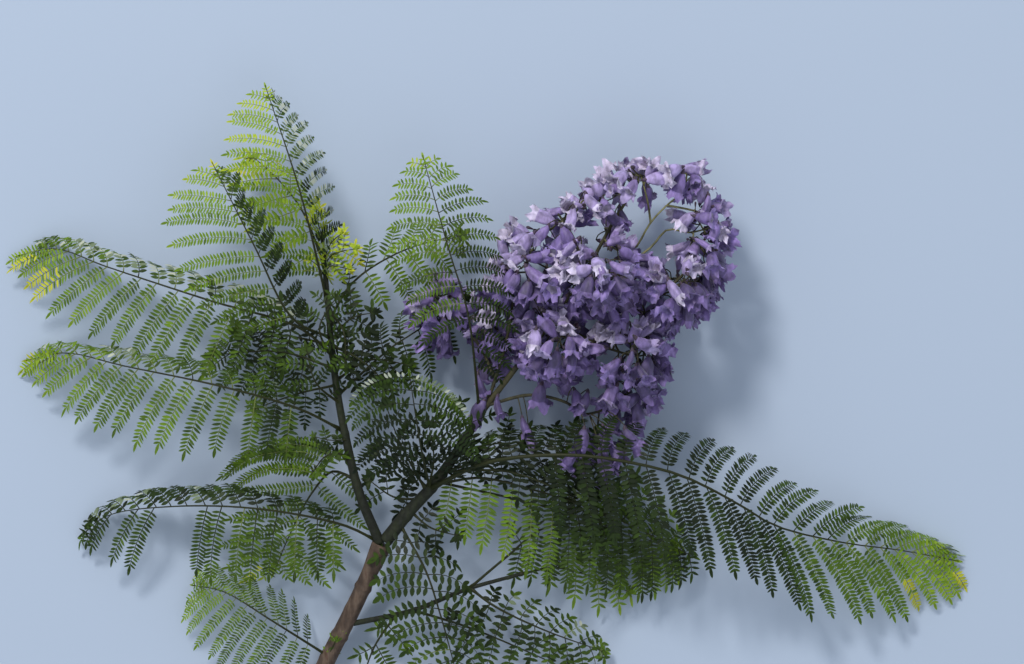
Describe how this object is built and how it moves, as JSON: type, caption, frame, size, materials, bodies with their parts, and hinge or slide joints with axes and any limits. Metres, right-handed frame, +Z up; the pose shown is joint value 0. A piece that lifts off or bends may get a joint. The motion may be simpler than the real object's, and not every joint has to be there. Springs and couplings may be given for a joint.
{
  "type": "cut jacaranda branch",
  "caption": "Cut branch of a flowering tree, lying down: a forked woody stem, twice-divided feathery leaves and a loose head of bell-shaped flowers.",
  "frame": {"origin": "under the middle of the whole branch, on the plane it lies on", "axes": "+X across the spread of the leaves, its longest side; +Y from the cut end of the main stem towards the tips; +Z straight up from the plane it lies on"},
  "size_m": [0.9548, 0.6422, 0.2162],
  "materials": {
    "bark": "matte, finely furrowed",
    "green_stem": "satin, finely ribbed",
    "leaf": "soft satin",
    "flower": "soft matte"
  },
  "bodies": {
    "root": {"main_stem": "bark", "left_stem": "green_stem", "right_stem": "green_stem", "side_stem": "green_stem", "flower_stalk": "green_stem", "stalk_left": "green_stem", "stalk_far_left": "green_stem", "stalk_low": "green_stem", "stalk_low_right": "green_stem", "stalk_right": "green_stem", "stalk_upper_left": "green_stem", "frond_top": "leaf", "frond_upper_left": "leaf", "frond_over_flowers": "leaf", "frond_right_long": "leaf", "frond_right_long_tip": "leaf", "frond_centre": "leaf", "frond_upper_wide": "leaf", "frond_middle_left": "leaf", "frond_lower_left": "leaf", "frond_middle_short": "leaf", "frond_top_back": "leaf", "frond_inner_left": "leaf", "frond_inner_low": "leaf", "frond_middle_up": "leaf", "frond_middle": "leaf", "frond_right_low": "leaf", "frond_low_hanging": "leaf", "frond_low_right": "leaf", "frond_bottom_left": "leaf", "frond_low_middle": "leaf", "frond_bottom": "leaf", "frond_side_tip": "leaf", "frond_bottom_stem": "leaf", "flowers_middle": "flower", "flowers_left": "flower", "flowers_upper_left": "flower", "flowers_top": "flower", "flowers_right": "flower", "flowers_upper_right": "flower", "flowers_lower_left": "flower", "flowers_lower_right": "flower", "flowers_low": "flower", "flowers_hanging": "flower", "flowers_inner_left": "flower", "flowers_far_left": "flower"}
  },
  "joints": []
}
